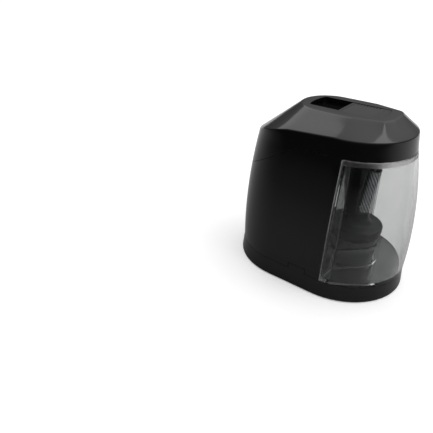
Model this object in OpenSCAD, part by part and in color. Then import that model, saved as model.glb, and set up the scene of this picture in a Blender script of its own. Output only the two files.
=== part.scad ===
// Upright electric pencil sharpener with a clear shavings bin.
// Origin: centre of the footprint, on the surface that the feet stand on.
// +X points to the clear bin, +Z points up. All sizes are in millimetres.

/* [Body] */
// Overall height above the table
top_z = 107.3; // [104:0.1:112]
// Length and width of the base at the table
base_len = 111.8; // [111:0.1:114]
base_wid = 80.8; // [80:0.1:83]
// Height of the deck that carries the bin
deck_z = 10.7; // [10:0.1:11.5]
// Length and width of the body at the deck
deck_len = 110; // [109:0.1:112]
deck_wid = 77; // [76.5:0.1:79]
// Length and width of the body half way up
belly_len = 108.4; // [108:0.1:110]
belly_wid = 74.4; // [74:0.1:76]
// Height of the seam between the cap and the bin
seam_z = 88.8; // [88.6:0.1:89]
// Length and width of the body at that seam
seam_len = 95.8; // [95:0.1:98]
seam_wid = 67.8; // [67:0.1:70]
// How far the seam's outline sits behind the base's centre
seam_shift = 1; // [0:0.1:1.5]
// Wall thickness of the moulded shells
wall = 2; // [1.8:0.1:2.2]
// Front face of the bulkhead between the bin and the rear shell
bulkhead_x = 18.6; // [18.4:0.1:18.8]

/* [Cap] */
// Height of the vertical skirt's upper edge at the front
skirt_z = 99.4; // [99:0.1:100]
// Where the skirt's upper edge starts to fall towards the rear
dip_x = 5; // [0:1:8]
// How fast it falls, in millimetres per square millimetre
dip_rate = 0.0045; // [0.003:0.0005:0.005]
// Where the cap's lower edge starts to slope down towards the rear
slope_x = -7.4; // [-9:0.1:-6]
// How steeply it slopes
slope_rate = 0.6; // [0.55:0.01:0.62]
// Half width of the flat top
flat_half_wid = 17.6; // [17:0.1:19]
// Front and rear ends of the flat top
flat_front_x = 33.6; // [33:0.1:35]
flat_rear_x = -23.9; // [-25:0.1:-23]

/* [Shutter] */
// Ends of the slot in the flat top
slot_front_x = 27.5; // [27:0.1:28]
slot_rear_x = -17.2; // [-18:0.1:-17]
// Width of the slot
slot_wid = 21; // [20.5:0.1:21.5]
// Rear edge of the closed shutter
shutter_rear_x = 2.4; // [2:0.1:3]
// Number of finger ribs on the shutter
rib_count = 9; // [5:1:11]

/* [Cutter] */
// Place of the pencil's axis
axis_x = 21; // [20.8:0.1:21.2]
// Radius of the pencil bore
bore_r = 4.25; // [4.1:0.05:4.3]
// Height of the sharpened tip
tip_z = 49; // [48.5:0.1:49.5]
// Tilt of the cutter, which is half the angle of the point
tilt = 9; // [8.8:0.1:9.2]
// Radius and length of the helical cutter
cutter_r = 4.2; // [4:0.1:4.2]
cutter_len = 29; // [26:1:29]
// Turn of the cutter about the pencil's axis, from the +Y side
cutter_turn = -125; // [-130:5:-120]
// Outer radius of the carrier's column
column_r = 7.1; // [7:0.1:7.3]

/* [Gears] */
// Module of every gear
gear_module = 0.6; // [0.6:0.1:0.6]
// Teeth of the motor's pinion
pinion_teeth = 10; // [10:1:10]
// Teeth of the large and small wheels of the first idler
idler_a_large = 40; // [40:1:40]
idler_a_small = 12; // [12:1:12]
// Teeth of the large and small wheels of the second idler
idler_b_large = 36; // [36:1:36]
idler_b_small = 12; // [12:1:12]
// Teeth of the carrier's gear
carrier_teeth = 40; // [40:1:40]
// Teeth of the fixed ring gear and of the cutter's gear
ring_teeth = 46; // [46:1:46]
cutter_teeth = 12; // [12:1:12]

/* [Hidden] */

$fn = 64;
eps = 0.01;
// Gap between pieces that meet without moving
gap = 0.3;
// Segments round each half of the body's outline
arc_n = 30;

black = "#17181a";
dark = "#26282b";
steel = "#b9bdc2";
brass = "#c9a24a";

// Tray, feet and posts
tray_bottom_z = 0.8;
tray_floor = 2.2;
foot_r = 5;
foot_high = 1.8;
foot_spots = [for (x = [-36, 38]) for (s = [-1, 1]) [x, s * 19]];
post_r = 3;
post_top_z = 89.18;
post_spots = [for (p = [[8, 27.5], [-18, 25]]) for (s = [-1, 1]) [p[0], s * p[1]]];
tab_x0 = -2.7;
tab_x1 = 8.7;
tab_top_z = 14.2;

// Gear train, on one line along X
center_small = gear_module / 2;
pin_to_a = center_small * (pinion_teeth + idler_a_large);
a_to_b = center_small * (idler_a_small + idler_b_large);
b_to_carrier = center_small * (idler_b_small + carrier_teeth);
idler_b_x = axis_x - b_to_carrier;
idler_a_x = idler_b_x - a_to_b;
motor_x = idler_a_x - pin_to_a;

// Gearbox
box_r = 15;
box_wall = 1.6;
box_floor_z = 12.2;
box_top_z = 32;
nose_top_z = 29.3;
box_rear_x = -32;
cover_thick = 2;
axle_r = 1;
axle_hole_r = 1.05;
box_screw_r = 1.9;
box_screw_spots = [for (p = [[-29.2, 12.3], [10.5, 12.6]]) for (s = [-1, 1]) [p[0], s * p[1]]];

// Bowl that closes the gearbox nose
bowl_r = 17;
bowl_top_z = 37;
bowl_low_z = 29.6;
boss_top_z = 44.3;
shaft_r = 3.2;
shaft_hole_r = 3.25;
bush_r = 5;
bush_low_z = box_top_z + cover_thick + 0.3;
bowl_rear_r = 14;

// Niche in the bulkhead
niche_r = 14.7;
niche_wall = 1.5;

// Bin bay round the gearbox nose
bay_r = 17.8;
bay_half = 25.3;
bin_wall = 2;
bin_gap = 0.3;
bay_top_z = 27;
bin_rear_x = bulkhead_x + bin_gap;
bin_low_z = deck_z + bin_gap;
bin_top_z = seam_z - bin_gap;

// Carrier
hub_low_z = 44.8;
flange_z = 79;
flange_r = 12.6;
neck_r = 5.6;
neck_top_z = 92.7;
pencil_room_r = bore_r + 0.25;
cutter_base_z = 46;
cutter_start = 2.2;
ring_mid = gear_module / 2 * (ring_teeth - cutter_teeth);
gear_z = tip_z + (ring_mid - cutter_r / cos(tilt)) / tan(tilt);
gear_along = (gear_z - cutter_base_z) / cos(tilt);
cutter_gear_high = 2.4;
ring_high = 3.2;
ring_r = 16.4;

// Upper frame and pencil guide
frame_low_z = 89.2;
frame_top_z = 91.2;
frame_boss_r = 9.5;
frame_boss_top_z = 93;
bush_top_r = 7.4;
guide_low_z = 93.02;
guide_r = 5.6;
guide_top_z = 98.8;
collar_low_z = 99.1;
collar_r = 5.4;
hook_x = -7;
hook_wid = 8;
slot_floor_z = 103.3;
slot_end_r = 33;
lip_z = 105.5;
lip_wide = 1.2;
shutter_gap = 0.25;
shutter_top_z = top_z - 0.15;
shutter_low_z = slot_floor_z + 0.35;

// Start lever
lever_x = 11.5;
lever_z = 98.9;
lever_pin_r = 0.8;
start_switch_x = [0.6, 8.7];
ear_gap = 1.6;
ear_thick = 1.6;
ear_r = 2.2;

// Motor
motor_r = 12.2;
motor_low_z = box_top_z + cover_thick + 0.04;
motor_top_z = 62;
motor_cap_high = 4;

// Board and jack
board_z = 14.5;
board_thick = 1.6;
board_x = [-51, -34];
board_half = 13;
jack_z = 20.6;
jack_size = [13.5, 9, 9];
jack_front_x = -52.4;
jack_bore_r = 1.85;
jack_depth = 10;
board_screw_spots = [[-37, -11], [-37, 11]];

// Bin switch
plunger_z = 60;
plunger_y = 26;
plunger_r = 1.5;
bin_switch_x = [11.3, bulkhead_x - 2.02];
bin_switch_y = [20, 29.6];

// ---- helpers -------------------------------------------------------------

// Value on a parabola through a low, a middle and a high value
function bow(low, mid, high, t) =
    low * (1 - t) * (1 - 2 * t) + 4 * mid * t * (1 - t) - high * t * (1 - 2 * t);

function height_part(z) = (z - deck_z) / (seam_z - deck_z);

// Half length, half width and centre of the outline at a height
function half_len(z) =
    z < deck_z ? (base_len + (deck_len - base_len) * z / deck_z) / 2
    : z < seam_z ? bow(deck_len, belly_len, seam_len, height_part(z)) / 2
    : seam_len / 2 - 0.04 * (z - seam_z);
function half_wid(z) =
    z < deck_z ? (base_wid + (deck_wid - base_wid) * z / deck_z) / 2
    : z < seam_z ? bow(deck_wid, belly_wid, seam_wid, height_part(z)) / 2
    : seam_wid / 2 - 0.115 * (z - seam_z);
function centre_x(z) =
    z < deck_z ? 0
    : z < seam_z ? -seam_shift * pow(height_part(z), 2)
    : -seam_shift - 0.11 * (z - seam_z);

ring_n = 2 * (arc_n + 1);
function ring_angle(i) = i <= arc_n ? -90 + 180 * i / arc_n : 90 + 180 * (i - arc_n - 1) / arc_n;

// Point i of the body's outline at a height, moved in by an inset
function skin_point(i, z, inset) =
    let (a = half_len(z) - inset, b = half_wid(z) - inset, g = ring_angle(i))
    [centre_x(z) + (i <= arc_n ? 1 : -1) * (a - b) + b * cos(g), b * sin(g), z];

function skin_ring(z, inset) = [for (i = [0:ring_n - 1]) skin_point(i, z, inset)];

// Solid through a stack of rings with the same number of points
module loft(rings) {
    n = len(rings[0]);
    last = len(rings) - 1;
    points = [for (r = rings) each r];
    sides = [for (k = [0:last - 1]) for (i = [0:n - 1])
        let (a = k * n + i, b = k * n + (i + 1) % n)
        each [[a, a + n, b + n], [a, b + n, b]]];
    polyhedron(points, concat(
        [[for (i = [0:n - 1]) i]],
        [[for (i = [0:n - 1]) last * n + n - 1 - i]],
        sides));
}

// The body's skin between two heights, moved in by an inset
module skin(z0, z1, inset, steps = 6) {
    loft([for (k = [0:steps]) skin_ring(z0 + (z1 - z0) * k / steps, inset)]);
}

// Box from low corner to high corner
module block(low, high) {
    translate(low) cube(high - low);
}

// The cap's side: everything above its lower edge, seen along Y
module above_seam(lift) {
    far = 70;
    high = 130;
    translate([0, far, 0]) rotate([90, 0, 0]) linear_extrude(2 * far)
        polygon([
            [far, seam_z + lift], [far, high], [-far, high],
            [-far, seam_z + lift - slope_rate * (far + slope_x)],
            [slope_x, seam_z + lift]]);
}

// Height of the skirt's upper edge
function edge_z(x) = skirt_z - dip_rate * pow(max(0, dip_x - x), 2);
function edge_z_at(i) = edge_z(skin_point(i, skirt_z - 4, 0)[0]);

// Corners of the front half of the flat top, by outline angle
flat_corners = [
    [-90, 14, -flat_half_wid], [-44, flat_front_x - 2.9, -13.3], [-20, flat_front_x, -6.2],
    [20, flat_front_x, 6.2], [44, flat_front_x - 2.9, 13.3], [90, 14, flat_half_wid]];
flat_rear_centre = flat_rear_x + flat_half_wid;

// Point i of the flat top's outline
function flat_point(i, inset, z) =
    let (g = ring_angle(i))
    i <= arc_n
        ? [14 + (lookup(g, [for (c = flat_corners) [c[0], c[1]]]) - 14) * (1 - inset / 19),
           lookup(g, [for (c = flat_corners) [c[0], c[2]]]) * (1 - inset / 17), z]
        : [flat_rear_centre + (flat_half_wid - inset) * cos(g), (flat_half_wid - inset) * sin(g), z];

function between(p, q, t) = p + (q - p) * t;

// Outer or inner skin of the cap
module cap_skin(inset, drop) {
    low_z = 58;
    steps = 5;
    walls = [for (k = [0:steps]) [for (i = [0:ring_n - 1])
        skin_point(i, low_z + (edge_z_at(i) - drop * 0.6 - low_z) * k / steps, inset)]];
    roof = [for (t = [0.04, 0.96]) [for (i = [0:ring_n - 1])
        between(walls[steps][i], flat_point(i, inset * 0.6, top_z - drop), t)
            + [0, 0, t < 0.5 ? 0.15 : -0.05]]];
    flat = [[for (i = [0:ring_n - 1]) flat_point(i, inset * 0.6 + 1.2, top_z - drop)]];
    loft(concat(walls, roof, flat));
}

// Outline of the slot in the flat top, with bowed ends
module slot_shape(grow) {
    long = slot_front_x - slot_rear_x;
    intersection() {
        translate([slot_rear_x - grow, -slot_wid / 2 - grow]) square([long + 2 * grow, slot_wid + 2 * grow]);
        translate([slot_front_x - slot_end_r, 0]) circle(slot_end_r + grow, $fn = 128);
        translate([slot_rear_x + slot_end_r, 0]) circle(slot_end_r + grow, $fn = 128);
    }
}

// Involute angle in degrees
function involute(a) = tan(a) * 180 / PI - a;
pressure = 25;

// Half the angle of a tooth at a radius
function half_tooth(rho, pitch_r, teeth, play) =
    let (base_r = pitch_r * cos(pressure))
    90 / teeth - play / 2 / pitch_r * 180 / PI + involute(pressure)
        - involute(acos(min(1, base_r / max(rho, base_r))));

// Outline of a gear with a tooth on the +X axis
function gear_outline(teeth, add, ded, play) =
    let (
        pitch_r = gear_module * teeth / 2,
        radii = [pitch_r - ded, max(pitch_r - ded + 0.02, pitch_r * cos(pressure) + 0.02),
                 pitch_r, pitch_r + add])
    [for (t = [0:teeth - 1])
        each concat(
            [for (r = radii) let (g = 360 * t / teeth - half_tooth(r, pitch_r, teeth, play))
                [r * cos(g), r * sin(g)]],
            [for (k = [3:-1:0]) let (r = radii[k], g = 360 * t / teeth + half_tooth(r, pitch_r, teeth, play))
                [r * cos(g), r * sin(g)]])];

// Spur gear with a bore
module spur(teeth, high, bore, turn = 0) {
    linear_extrude(high) difference() {
        rotate(turn) polygon(gear_outline(teeth, 0.9 * gear_module, 1.2 * gear_module, 0.1));
        circle(bore);
    }
}

// Round tube
module tube(outer, inner, z0, z1) {
    translate([0, 0, z0]) difference() {
        cylinder(r = outer, h = z1 - z0);
        translate([0, 0, -1]) cylinder(r = inner, h = z1 - z0 + 2);
    }
}

// Unit vector and its two normals along a route
function unit(v) = v / norm(v);
function route_dir(p, i) = unit(p[min(i + 1, len(p) - 1)] - p[max(i - 1, 0)]);

// Points of a smooth curve through a list of points
function smooth(p, per) = concat([for (k = [0:len(p) - 2]) for (j = [0:per - 1])
    let (a = p[max(k - 1, 0)], b = p[k], c = p[k + 1], d = p[min(k + 2, len(p) - 1)], t = j / per)
    b + (c - a) * t / 2 + (a * 2 - b * 5 + c * 4 - d) * t * t / 2
        + (b * 3 - a - c * 3 + d) * t * t * t / 2], [p[len(p) - 1]]);

// Tube swept along a route that never runs along the direction aside
module wire(route, r, aside, sides = 8) {
    loft([for (i = [0:len(route) - 1])
        let (d = route_dir(route, i), u = unit(cross(d, aside)), v = cross(d, u))
        [for (k = [0:sides - 1]) route[i] + r * (cos(360 * k / sides) * u + sin(360 * k / sides) * v)]]);
}

// Screw with a pan head, head down at z = 0, shank upwards
module screw(head_r, head_high, shank_r, shank_len) {
    difference() {
        cylinder(r = head_r, h = head_high, $fn = 32);
        for (g = [0, 90]) rotate(g)
            block([-head_r * 0.6, -head_r * 0.12, -1], [head_r * 0.6, head_r * 0.12, head_high * 0.5]);
    }
    translate([0, 0, head_high - eps]) cylinder(r = shank_r, h = shank_len, $fn = 32);
}

// Places a child on the tilted axis of the cutter
function cutter_offset(z) = (z - tip_z) * tan(tilt) + cutter_r / cos(tilt);
module on_cutter_axis() {
    at_axis() rotate(cutter_turn) translate([0, cutter_offset(cutter_base_z), cutter_base_z])
        rotate([-tilt, 0, 0]) children();
}

module at_axis() {
    translate([axis_x, 0, 0]) children();
}

// ---- casing --------------------------------------------------------------

module base_tray() {
    lip_high = 1.8;
    color(black) {
        difference() {
            union() {
                difference() {
                    skin(tray_bottom_z, deck_z, 0, 2);
                    // rear half is open to the top
                    intersection() {
                        skin(tray_bottom_z + tray_floor, deck_z + 1, wall + 1.6, 2);
                        block([-80, -60, 0], [bulkhead_x - 3, 60, 40]);
                    }
                    // the deck is open underneath
                    intersection() {
                        skin(-1, deck_z - wall, wall + 0.4, 2);
                        block([bulkhead_x, -60, -2], [80, 60, 40]);
                    }
                }
                // lip that locates the rear shell
                intersection() {
                    difference() {
                        skin(deck_z - 1, deck_z + lip_high, wall + gap, 2);
                        skin(deck_z - 2, deck_z + lip_high + 1, wall + gap + 1.3, 2);
                    }
                    block([-46, -60, 0], [bulkhead_x - 4, 60, 40]);
                }
                // snap tabs that show in the side walls
                intersection() {
                    difference() {
                        skin(deck_z - 1, tab_top_z, 0.05, 2);
                        skin(deck_z - 2, tab_top_z + 1, wall + gap + 1.3, 2);
                    }
                    block([tab_x0, -60, 0], [tab_x1, 60, 40]);
                }
                // pillars for the feet
                for (p = foot_spots) translate([p[0], p[1], tray_bottom_z])
                    cylinder(r = foot_r + 1.6, h = deck_z - tray_bottom_z - wall + eps);
                // pillars for the base screws
                for (p = post_spots) translate([p[0], p[1], tray_bottom_z])
                    cylinder(r = post_r + 1.2, h = box_floor_z - tray_bottom_z);
                // pillars under the gearbox and the board
                for (p = box_screw_spots) translate([p[0], p[1], tray_bottom_z + 1])
                    cylinder(r = 2.6, h = box_floor_z - tray_bottom_z - 1);
                for (p = board_screw_spots) translate([p[0], p[1], tray_bottom_z + 1])
                    cylinder(r = 2.4, h = board_z - tray_bottom_z - 1);
            }
            for (p = foot_spots) translate([p[0], p[1], tray_bottom_z - 1])
                cylinder(r = foot_r + 0.1, h = 2);
            for (p = post_spots) translate([p[0], p[1], -1]) {
                cylinder(r = 1.6, h = 30);
                cylinder(r = 3.2, h = tray_bottom_z + 5);
            }
            for (p = box_screw_spots) translate([p[0], p[1], -1]) cylinder(r = 1.3, h = 30);
            for (p = board_screw_spots) translate([p[0], p[1], 6]) cylinder(r = 0.8, h = 30);
        }
    }
}

module rubber_feet() {
    color("#111111") for (p = foot_spots) translate([p[0], p[1], 0]) {
        cylinder(r = foot_r - 0.6, h = 0.4);
        translate([0, 0, 0.39]) cylinder(r = foot_r, h = foot_high - 0.39);
    }
}

module rear_shell() {
    low_z = deck_z + gap;
    color(black) difference() {
        union() {
            difference() {
                skin(low_z, seam_z, 0, 8);
                skin(low_z - 1, seam_z + 1, wall, 8);
            }
            // screw posts with webs to the wall
            intersection() {
                skin(low_z + 1.5, post_top_z, wall - 0.2, 6);
                for (p = post_spots) {
                    translate([p[0], p[1], box_floor_z + 0.2]) cylinder(r = post_r, h = post_top_z);
                    translate([p[0], 0, box_floor_z + 2.6])
                        block([-0.8, p[1] > 0 ? p[1] + 1.5 : -60, 0], [0.8, p[1] > 0 ? 60 : p[1] - 1.5, 75]);
                }
            }
        }
        block([bulkhead_x, -60, 0], [80, 60, 120]);
        above_post_webs();
        // notches for the base's tabs
        block([tab_x0 - 0.15, -60, 0], [tab_x1 + 0.15, -34.5, tab_top_z + 0.15]);
        block([tab_x0 - 0.15, 34.5, 0], [tab_x1 + 0.15, 60, tab_top_z + 0.15]);
        for (p = post_spots) translate([p[0], p[1], 0]) {
            cylinder(r = 1.1, h = 26);
            translate([0, 0, post_top_z - 9]) cylinder(r = 0.9, h = 20);
        }
        // hole for the jack
        translate([-40, 0, jack_z]) rotate([0, -90, 0]) cylinder(r = 4.1, h = 30);
    }
}

// What the cap's lower edge takes from the rear shell, leaving the posts
module above_post_webs() {
    difference() {
        above_seam(0);
        for (p = post_spots) translate([p[0], p[1], 0]) cylinder(r = post_r + eps, h = 200);
    }
}

module bulkhead() {
    thick = 2;
    top = seam_z - 0.2;
    low_z = deck_z + gap;
    color(black) difference() {
        union() {
            intersection() {
                skin(low_z, top, wall + 0.25, 8);
                block([bulkhead_x - thick, -60, 0], [bulkhead_x, 60, 120]);
            }
            intersection() {
                at_axis() translate([0, 0, bowl_top_z])
                    cylinder(r = niche_r + niche_wall, h = top - bowl_top_z);
                block([-20, -60, 0], [bulkhead_x, 60, 120]);
            }
        }
        at_axis() translate([0, 0, bowl_top_z - 1]) cylinder(r = niche_r, h = 80);
        // opening for the gearbox nose
        block([0, -box_r - gap, 0], [40, box_r + gap, bowl_top_z + gap]);
        // room for the ring gear
        at_axis() translate([0, 0, gear_z - ring_high / 2 - gap]) cylinder(r = ring_r + gap, h = 20);
        // hole for the bin switch's plunger
        translate([0, plunger_y, plunger_z]) rotate([0, 90, 0]) cylinder(r = plunger_r + 0.3, h = 40);
        for (p = post_spots) translate([p[0], p[1], 0]) cylinder(r = post_r + gap, h = 200);
    }
}

// Snap hooks of the cap: rooted on its wall, running down behind the rear shell's wall
module cap_hooks() {
    root_z = seam_z + 2;
    for (s = [-1, 1]) intersection() {
        union() {
            difference() {
                skin(root_z, 96, wall - 0.4, 2);
                skin(root_z - 1, 97, wall + 1.9, 2);
            }
            difference() {
                skin(79, root_z + eps, wall + 0.4, 2);
                skin(78, root_z + 1, wall + 1.9, 2);
            }
        }
        block([hook_x, s > 0 ? 0 : -60, 0], [hook_x + hook_wid, s > 0 ? 60 : 0, 200]);
    }
}

module cap() {
    color(black) difference() {
        union() {
            intersection() {
                difference() {
                    cap_skin(0, 0);
                    cap_skin(wall, wall);
                }
                above_seam(gap);
            }
            // pocket that carries the shutter
            translate([0, 0, slot_floor_z - 1.5]) linear_extrude(top_z - slot_floor_z + 1.2)
                slot_shape(lip_wide + 1.3);
            // collar that leads the pencil in
            at_axis() translate([0, 0, collar_low_z]) cylinder(r = collar_r, h = slot_floor_z - collar_low_z);
            cap_hooks();
        }
        // slot, its wider lower part and the pencil hole
        translate([0, 0, slot_floor_z]) linear_extrude(10) slot_shape(0);
        translate([0, 0, slot_floor_z]) linear_extrude(lip_z - slot_floor_z) slot_shape(lip_wide);
        at_axis() translate([0, 0, collar_low_z - 1]) cylinder(r = bore_r, h = 20);
    }
}

module shutter() {
    wide_half = slot_wid / 2 + lip_wide - shutter_gap;
    narrow = slot_wid / 2 - shutter_gap;
    rib_pitch = 1.9;
    rib_high = 0.25;
    color(black) {
        // foot that runs under the cap's lip
        translate([0, 0, shutter_low_z]) linear_extrude(lip_z - shutter_gap - shutter_low_z) intersection() {
            slot_shape(lip_wide - shutter_gap);
            translate([shutter_rear_x + 1, -wide_half]) square([40, 2 * wide_half]);
        }
        translate([0, 0, shutter_low_z])
            linear_extrude(shutter_top_z - rib_high - shutter_low_z) intersection() {
            slot_shape(-shutter_gap);
            translate([shutter_rear_x, -narrow]) square([40, 2 * narrow]);
        }
        // finger ribs and the smooth front end
        for (k = [0:rib_count - 1])
            translate([shutter_rear_x + 1.6 + rib_pitch * k, 0, shutter_top_z - rib_high - 0.05])
                block([0, -narrow + 0.6, 0], [1, narrow - 0.6, rib_high + 0.05]);
        translate([0, 0, shutter_low_z]) linear_extrude(shutter_top_z - shutter_low_z) intersection() {
            slot_shape(-shutter_gap);
            translate([shutter_rear_x + 1.8 + rib_pitch * rib_count, -narrow]) square([40, 2 * narrow]);
        }
    }
}

// Plan of the bay round the gearbox nose
module bay_shape(r, half) {
    slant = axis_x + r * sqrt(2);
    union() {
        translate([axis_x, 0]) circle(r);
        polygon([
            [bulkhead_x - 5, -half], [slant - half, -half], [axis_x + r / sqrt(2), -r / sqrt(2)],
            [axis_x + r / sqrt(2), r / sqrt(2)], [slant - half, half], [bulkhead_x - 5, half]]);
    }
}

module shavings_bin() {
    rim_high = 2.6;
    bay_wall = 1.8;
    color([0.82, 0.85, 0.86, 0.35]) difference() {
        union() {
            // outer wall, thicker along its upper rim
            intersection() {
                difference() {
                    skin(bin_low_z, bin_top_z, 0, 8);
                    skin(bin_low_z + bin_wall, bin_top_z - rim_high, bin_wall, 8);
                    skin(bin_top_z - rim_high - eps, bin_top_z + 1, bin_wall + 0.7, 2);
                }
                block([bin_rear_x, -60, 0], [80, 60, 120]);
            }
            // narrow rear flanges
            intersection() {
                skin(bin_low_z, bin_top_z, 0.5, 8);
                for (s = [-1, 1])
                    block([bin_rear_x, s > 0 ? bay_half - bay_wall : -60, 0],
                          [bin_rear_x + bin_wall, s > 0 ? 60 : -bay_half + bay_wall, 120]);
            }
            // low wall round the gearbox nose
            intersection() {
                translate([0, 0, bin_low_z]) linear_extrude(bay_top_z - bin_low_z) bay_shape(bay_r, bay_half);
                block([bin_rear_x, -60, 0], [80, 60, 120]);
            }
        }
        linear_extrude(200) bay_shape(bay_r - bay_wall, bay_half - bay_wall);
    }
}

// ---- gearbox -------------------------------------------------------------

// Plan of the gearbox: a box with a round nose
module box_shape(r) {
    union() {
        translate([axis_x, 0]) circle(r);
        translate([box_rear_x + box_r - r, -r]) square([axis_x - box_rear_x - box_r + r, 2 * r]);
    }
}

module gearbox_base() {
    color(dark) difference() {
        translate([0, 0, box_floor_z]) linear_extrude(box_top_z - box_floor_z) box_shape(box_r);
        difference() {
            translate([0, 0, box_floor_z + 2]) linear_extrude(40) box_shape(box_r - box_wall);
            for (p = box_screw_spots) translate([p[0], p[1], 0]) cylinder(r = box_screw_r, h = 60);
        }
        block([bulkhead_x - gap, -30, nose_top_z], [60, 30, 60]);
        for (x = [idler_a_x, idler_b_x])
            translate([x, 0, box_floor_z + 0.6]) cylinder(r = axle_r + 0.01, h = 5);
        at_axis() translate([0, 0, box_floor_z + 0.5]) cylinder(r = 1.55, h = 5);
        for (p = box_screw_spots) translate([p[0], p[1], 0]) {
            cylinder(r = 1.02, h = box_floor_z + 6);
            translate([0, 0, box_top_z - 7]) cylinder(r = 0.82, h = 20);
        }
    }
}

module gearbox_cover() {
    color(dark) difference() {
        translate([0, 0, box_top_z + 0.02]) linear_extrude(cover_thick) intersection() {
            box_shape(box_r);
            translate([-60, -30]) square([60 + bulkhead_x - gap, 60]);
        }
        at_axis() cylinder(r = shaft_r + 0.6, h = 60);
        for (x = [idler_a_x, idler_b_x]) translate([x, 0, 0]) cylinder(r = axle_r + 0.01, h = 60);
        translate([motor_x, 0, 0]) cylinder(r = 3.3, h = 60);
        for (s = [-1, 1]) translate([motor_x, s * 8, 0]) cylinder(r = 1.1, h = 60);
        for (p = box_screw_spots) translate([p[0], p[1], 0]) cylinder(r = 1.1, h = 60);
    }
}

module gearbox_screws() {
    color(steel) for (p = box_screw_spots)
        translate([p[0], p[1], box_top_z + cover_thick + 1.44]) rotate([180, 0, 0]) screw(2, 1.4, 0.8, 6);
}

module gear_bowl() {
    color(black) difference() {
        at_axis() rotate_extrude() polygon([
            [0, nose_top_z + 3], [13.2, nose_top_z + 3], [13.2, bowl_low_z], [15.4, bowl_low_z],
            [16.5, bowl_low_z + 1.6], [bowl_r, bowl_low_z + 3.8], [bowl_r, bowl_top_z - 0.9],
            [bowl_r - 0.3, bowl_top_z - 0.3], [bowl_r - 0.9, bowl_top_z],
            [10.4, bowl_top_z + 0.5], [8, bowl_top_z + 3.2], [7.3, boss_top_z], [0, boss_top_z]]);
        // flat where the bulkhead meets the bowl, with the round part behind it in the niche
        difference() {
            block([-20, -30, 0], [bulkhead_x + 0.2, 30, 60]);
            at_axis() translate([0, 0, box_top_z + cover_thick + 0.3]) cylinder(r = bowl_rear_r, h = 40);
        }
        at_axis() cylinder(r = bush_r + 0.01, h = 100);
    }
}

module lower_bush() {
    color(brass) at_axis() tube(bush_r, shaft_hole_r, bush_low_z, boss_top_z);
}

module idler_axle_a() {
    color(steel) translate([idler_a_x, 0, box_floor_z + 0.7])
        cylinder(r = axle_r, h = box_top_z + cover_thick - box_floor_z - 0.8);
}

module idler_axle_b() {
    color(steel) translate([idler_b_x, 0, box_floor_z + 0.7])
        cylinder(r = axle_r, h = box_top_z + cover_thick - box_floor_z - 0.8);
}

// Levels of the gear train, from the motor down to the carrier
mesh_1_z = 26.4;
mesh_2_z = 21.2;
mesh_3_z = 16;
wheel_high = 4;

module idler_gear_a() {
    color("#e6e2d6") translate([idler_a_x, 0, 0]) {
        translate([0, 0, mesh_1_z]) spur(idler_a_large, wheel_high, axle_hole_r);
        translate([0, 0, mesh_2_z - 0.4])
            spur(idler_a_small, mesh_1_z - mesh_2_z + 0.4 + eps, axle_hole_r, 180 / idler_a_small);
        tube(2.4, axle_hole_r, mesh_1_z + wheel_high - eps, box_top_z - 0.2);
        tube(2.4, axle_hole_r, box_floor_z + 2.2, mesh_2_z - 0.4 + eps);
    }
}

module idler_gear_b() {
    color("#e6e2d6") translate([idler_b_x, 0, 0]) {
        translate([0, 0, mesh_2_z]) spur(idler_b_large, wheel_high, axle_hole_r);
        translate([0, 0, mesh_3_z - 0.4])
            spur(idler_b_small, mesh_2_z - mesh_3_z + 0.4 + eps, axle_hole_r, 180 / idler_b_small);
        tube(2.4, axle_hole_r, mesh_2_z + wheel_high - eps, mesh_2_z + wheel_high + 0.8);
        tube(2.4, axle_hole_r, box_floor_z + 2.2, mesh_3_z - 0.4 + eps);
    }
}

// ---- motor ---------------------------------------------------------------

module motor_can() {
    color(steel) translate([motor_x, 0, 0]) difference() {
        union() {
            intersection() {
                translate([0, 0, motor_low_z]) cylinder(r = motor_r, h = motor_top_z - motor_low_z);
                block([-20, -10, 0], [20, 10, 100]);
            }
            translate([0, 0, motor_low_z - 1.6]) cylinder(r = 3, h = 2);
        }
        translate([0, 0, motor_low_z - 5]) cylinder(r = 1.05, h = 12);
        for (s = [-1, 1]) translate([0, s * 8, motor_low_z - 1]) cylinder(r = 0.82, h = 5);
    }
}

module motor_end_cap() {
    color("#f0f0ec") translate([motor_x, 0, motor_top_z + 0.02]) difference() {
        union() {
            intersection() {
                cylinder(r = motor_r - 0.3, h = motor_cap_high);
                block([-20, -9.8, -1], [20, 9.8, 100]);
            }
            cylinder(r = 3, h = motor_cap_high + 1.5);
        }
        for (s = [-1, 1]) block([-7, s * 5.5 - 0.6, 1], [-3, s * 5.5 + 0.6, 20]);
    }
}

module motor_terminals() {
    color(brass) for (s = [-1, 1])
        translate([motor_x, 0, motor_top_z + 1.1]) block([-6.4, s * 5.5 - 0.3, 0], [-3.6, s * 5.5 + 0.3, 8]);
}

module motor_screws() {
    color(steel) for (s = [-1, 1])
        translate([motor_x, s * 8, box_top_z - 1.22]) screw(1.9, 1.2, 0.8, cover_thick + 3.4);
}

module motor_shaft() {
    color(steel) translate([motor_x, 0, mesh_1_z - 0.6]) cylinder(r = 1, h = motor_low_z + 6 - mesh_1_z);
}

module motor_pinion() {
    color(brass) translate([motor_x, 0, mesh_1_z - 0.5])
        spur(pinion_teeth, wheel_high + 1, 1.01, 180 / pinion_teeth);
}

// ---- carrier and cutter --------------------------------------------------

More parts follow.
